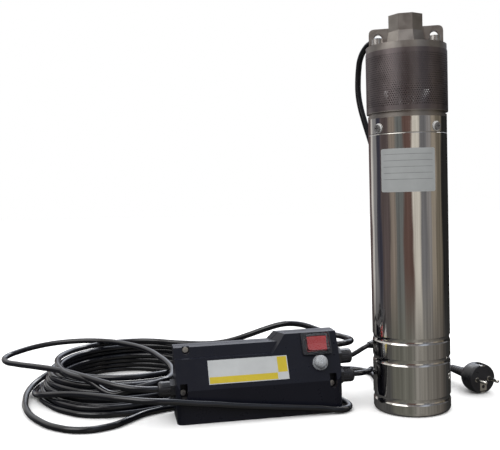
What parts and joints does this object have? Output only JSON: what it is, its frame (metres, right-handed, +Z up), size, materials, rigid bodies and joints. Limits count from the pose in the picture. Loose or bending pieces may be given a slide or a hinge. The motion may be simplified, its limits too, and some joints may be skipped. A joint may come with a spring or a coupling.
{
  "type": "borehole submersible pump",
  "caption": "Slim borehole pump with a polished motor barrel, inlet strainer, outlet head with rope ears, start box with switch and reset button, cables and plug.",
  "frame": {"origin": "centre of the pump's flat bottom face", "axes": "+Z up along the pump shaft, X along the two rope ears, -Y to the front"},
  "size_m": [0.715, 0.3439, 0.49],
  "materials": {
    "cast_head": "satin cast metal",
    "stage_iron": "as cast",
    "screw_steel": "plain stainless",
    "strainer_steel": "dull dark stainless",
    "bronze": "machined",
    "black_rubber": "matt",
    "seal_ceramic": "lapped",
    "seal_carbon": "lapped",
    "spring_steel": "drawn wire",
    "bearing_steel": "ground",
    "core_steel": "stacked sheet",
    "copper_winding": "varnished",
    "polished_barrel": "mirror polished stainless",
    "cable_sheath": "satin",
    "box_shell": "fine grained",
    "black_plastic": "semi gloss",
    "red_plastic": "gloss",
    "clear_rubber": "clear",
    "white_plastic": "satin",
    "plated_brass": "nickel plated"
  },
  "bodies": {
    "housing": {"outlet_head": "cast_head", "head_screws": "screw_steel", "inlet_strainer": "strainer_steel", "pump_casing": "stage_iron", "suction_cover": "stage_iron", "shaft_bush": "bronze", "motor_support": "cast_head", "o_rings": "black_rubber", "seal_seat": "seal_ceramic", "lip_seal": "black_rubber", "upper_bearing_outer": "bearing_steel", "lower_bearing_outer": "bearing_steel", "wave_washer": "screw_steel", "stator_core": "core_steel", "stator_winding": "copper_winding", "motor_barrel": "polished_barrel", "barrel_screws": "screw_steel", "lower_bearing_seat": "stage_iron", "bottom_cap": "polished_barrel", "cable_grommet": "black_rubber", "motor_lead": "cable_sheath", "box_cover": "box_shell", "box_back": "box_shell", "box_gasket": "black_rubber", "cover_screws": "screw_steel", "switch_body": "black_plastic", "switch_boot": "clear_rubber", "breaker_body": "black_plastic", "reset_boot": "clear_rubber", "capacitor": "white_plastic", "capacitor_clip": "screw_steel", "terminal_block": "white_plastic", "gland_bodies": "black_plastic", "gland_nuts": "black_plastic", "pump_cable_run": "cable_sheath", "pump_cable_coil": "cable_sheath", "pump_cable_loops": "cable_sheath", "mains_lead": "cable_sheath", "mains_coil": "cable_sheath", "plug_body": "black_plastic", "plug_contacts": "plated_brass", "level_lead": "cable_sheath", "level_socket": "black_plastic"},
    "rotor": {"motor_shaft": "bearing_steel", "rotor_core": "core_steel", "impeller": "bronze", "impeller_key": "screw_steel", "impeller_circlip": "screw_steel", "sand_slinger": "black_rubber", "seal_head": "seal_carbon", "seal_spring": "spring_steel", "seal_collar": "spring_steel", "upper_bearing_inner": "bearing_steel", "lower_bearing_inner": "bearing_steel"},
    "upper_balls": {"upper_bearing_balls": "bearing_steel"},
    "lower_balls": {"lower_bearing_balls": "bearing_steel"},
    "rocker": {"switch_rocker": "red_plastic"},
    "reset": {"reset_button": "white_plastic"}
  },
  "joints": [
    {"name": "rotor_spin", "type": "hinge", "parent": "housing", "child": "rotor", "pos_m": [0, 0, 0.2], "axis": [0, 0, 1], "continuous": true},
    {"name": "upper_balls_spin", "type": "hinge", "parent": "housing", "child": "upper_balls", "pos_m": [0, 0, 0.318], "axis": [0, 0, 1], "continuous": true},
    {"name": "lower_balls_spin", "type": "hinge", "parent": "housing", "child": "lower_balls", "pos_m": [0, 0, 0.082], "axis": [0, 0, 1], "continuous": true},
    {"name": "rocker_tilt", "type": "hinge", "parent": "housing", "child": "rocker", "pos_m": [-0.11796, -0.02209, 0.08371], "axis": [0.9245, 0.3811, 0], "range_deg": [-24, 0]},
    {"name": "reset_press", "type": "slide", "parent": "housing", "child": "reset", "axis": [-0.3359, 0.815, -0.4722], "range_m": [0, 0.0025], "stiffness_N_per_m": 400, "springref_m": -0.001}
  ],
  "couplings": [
    {"joint": "upper_balls_spin", "follows": "rotor_spin", "ratio": 0.3842},
    {"joint": "lower_balls_spin", "follows": "rotor_spin", "ratio": 0.3842}
  ]
}
